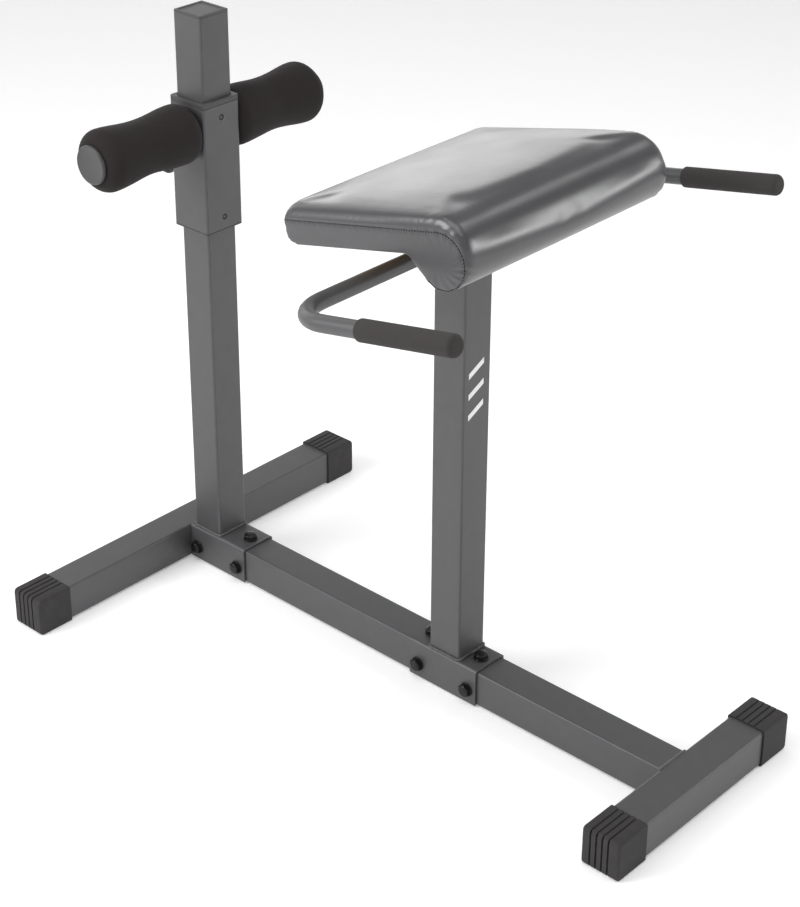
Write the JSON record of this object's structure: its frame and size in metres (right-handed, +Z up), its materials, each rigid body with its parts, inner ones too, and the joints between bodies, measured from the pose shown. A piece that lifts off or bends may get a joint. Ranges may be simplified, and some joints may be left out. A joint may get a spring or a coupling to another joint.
{
  "type": "roman chair",
  "caption": "Free-standing gym bench for back extensions: sliding ankle rollers on a post, and a rolled hip pad with two hand grips on a column.",
  "frame": {"origin": "on the floor, under the middle of the chair's outer box", "axes": "+X from the ankle post towards the hip pad, +Y to the user's left, +Z up"},
  "size_m": [0.95, 0.624, 0.8353],
  "materials": {
    "powder_coat": "satin",
    "black_zinc": "satin",
    "foot_rubber": "matte",
    "grey_plastic": "satin",
    "roller_foam": "matte",
    "grip_foam": "matte",
    "pad_vinyl": "satin",
    "plywood": "matte",
    "spring_steel": "satin"
  },
  "bodies": {
    "frame": {"rear_cross_foot": "powder_coat", "front_cross_foot": "powder_coat", "rear_left_foot_cap": "foot_rubber", "rear_right_foot_cap": "foot_rubber", "front_left_foot_cap": "foot_rubber", "front_right_foot_cap": "foot_rubber", "main_beam": "powder_coat", "post_saddle": "powder_coat", "column_saddle": "powder_coat", "post_saddle_rear_washer": "black_zinc", "post_saddle_rear_bolt": "black_zinc", "post_saddle_rear_nut": "black_zinc", "post_saddle_front_washer": "black_zinc", "post_saddle_front_bolt": "black_zinc", "post_saddle_front_nut": "black_zinc", "column_saddle_rear_washer": "black_zinc", "column_saddle_rear_bolt": "black_zinc", "column_saddle_rear_nut": "black_zinc", "column_saddle_front_washer": "black_zinc", "column_saddle_front_bolt": "black_zinc", "column_saddle_front_nut": "black_zinc", "post_saddle_top_washer": "black_zinc", "post_saddle_top_bolt": "black_zinc", "post_saddle_top_nut": "black_zinc", "column_saddle_top_rear_washer": "black_zinc", "column_saddle_top_rear_bolt": "black_zinc", "column_saddle_top_rear_nut": "black_zinc", "column_saddle_top_front_washer": "black_zinc", "column_saddle_top_front_bolt": "black_zinc", "column_saddle_top_front_nut": "black_zinc", "ankle_post": "powder_coat", "post_top_plug": "grey_plastic", "hip_column": "powder_coat", "pad_support": "powder_coat", "pad_bolt_rear_right": "black_zinc", "pad_bolt_rear_left": "black_zinc", "pad_bolt_front_right": "black_zinc", "pad_bolt_front_left": "black_zinc", "pad_board": "plywood", "hip_pad": "pad_vinyl", "handlebar": "powder_coat", "left_grip": "grip_foam", "right_grip": "grip_foam"},
    "sleeve": {"slide_sleeve": "powder_coat", "sleeve_top_bush": "grey_plastic", "sleeve_bottom_bush": "grey_plastic", "pin_barrel": "powder_coat", "pin_spring": "spring_steel", "left_roller_axle": "powder_coat", "right_roller_axle": "powder_coat", "left_roller_cap": "grey_plastic", "right_roller_cap": "grey_plastic"},
    "pin": {"pull_pin": "black_zinc", "pull_knob": "grey_plastic"},
    "left_roller": {"left_roller_foam": "roller_foam"},
    "right_roller": {"right_roller_foam": "roller_foam"}
  },
  "joints": [
    {"name": "sleeve_slide", "type": "slide", "parent": "frame", "child": "sleeve", "axis": [0, 0, 1], "range_m": [-0.2, 0.1]},
    {"name": "pin_pull", "type": "slide", "parent": "sleeve", "child": "pin", "axis": [1, 0, 0], "range_m": [0, 0.008], "stiffness_N_per_m": 400, "springref_m": 0.012},
    {"name": "left_roller_spin", "type": "hinge", "parent": "sleeve", "child": "left_roller", "pos_m": [-0.3877, 0.03, 0.675], "axis": [0, 1, 0], "continuous": true},
    {"name": "right_roller_spin", "type": "hinge", "parent": "sleeve", "child": "right_roller", "pos_m": [-0.3877, -0.03, 0.675], "axis": [0, 1, 0], "continuous": true}
  ]
}
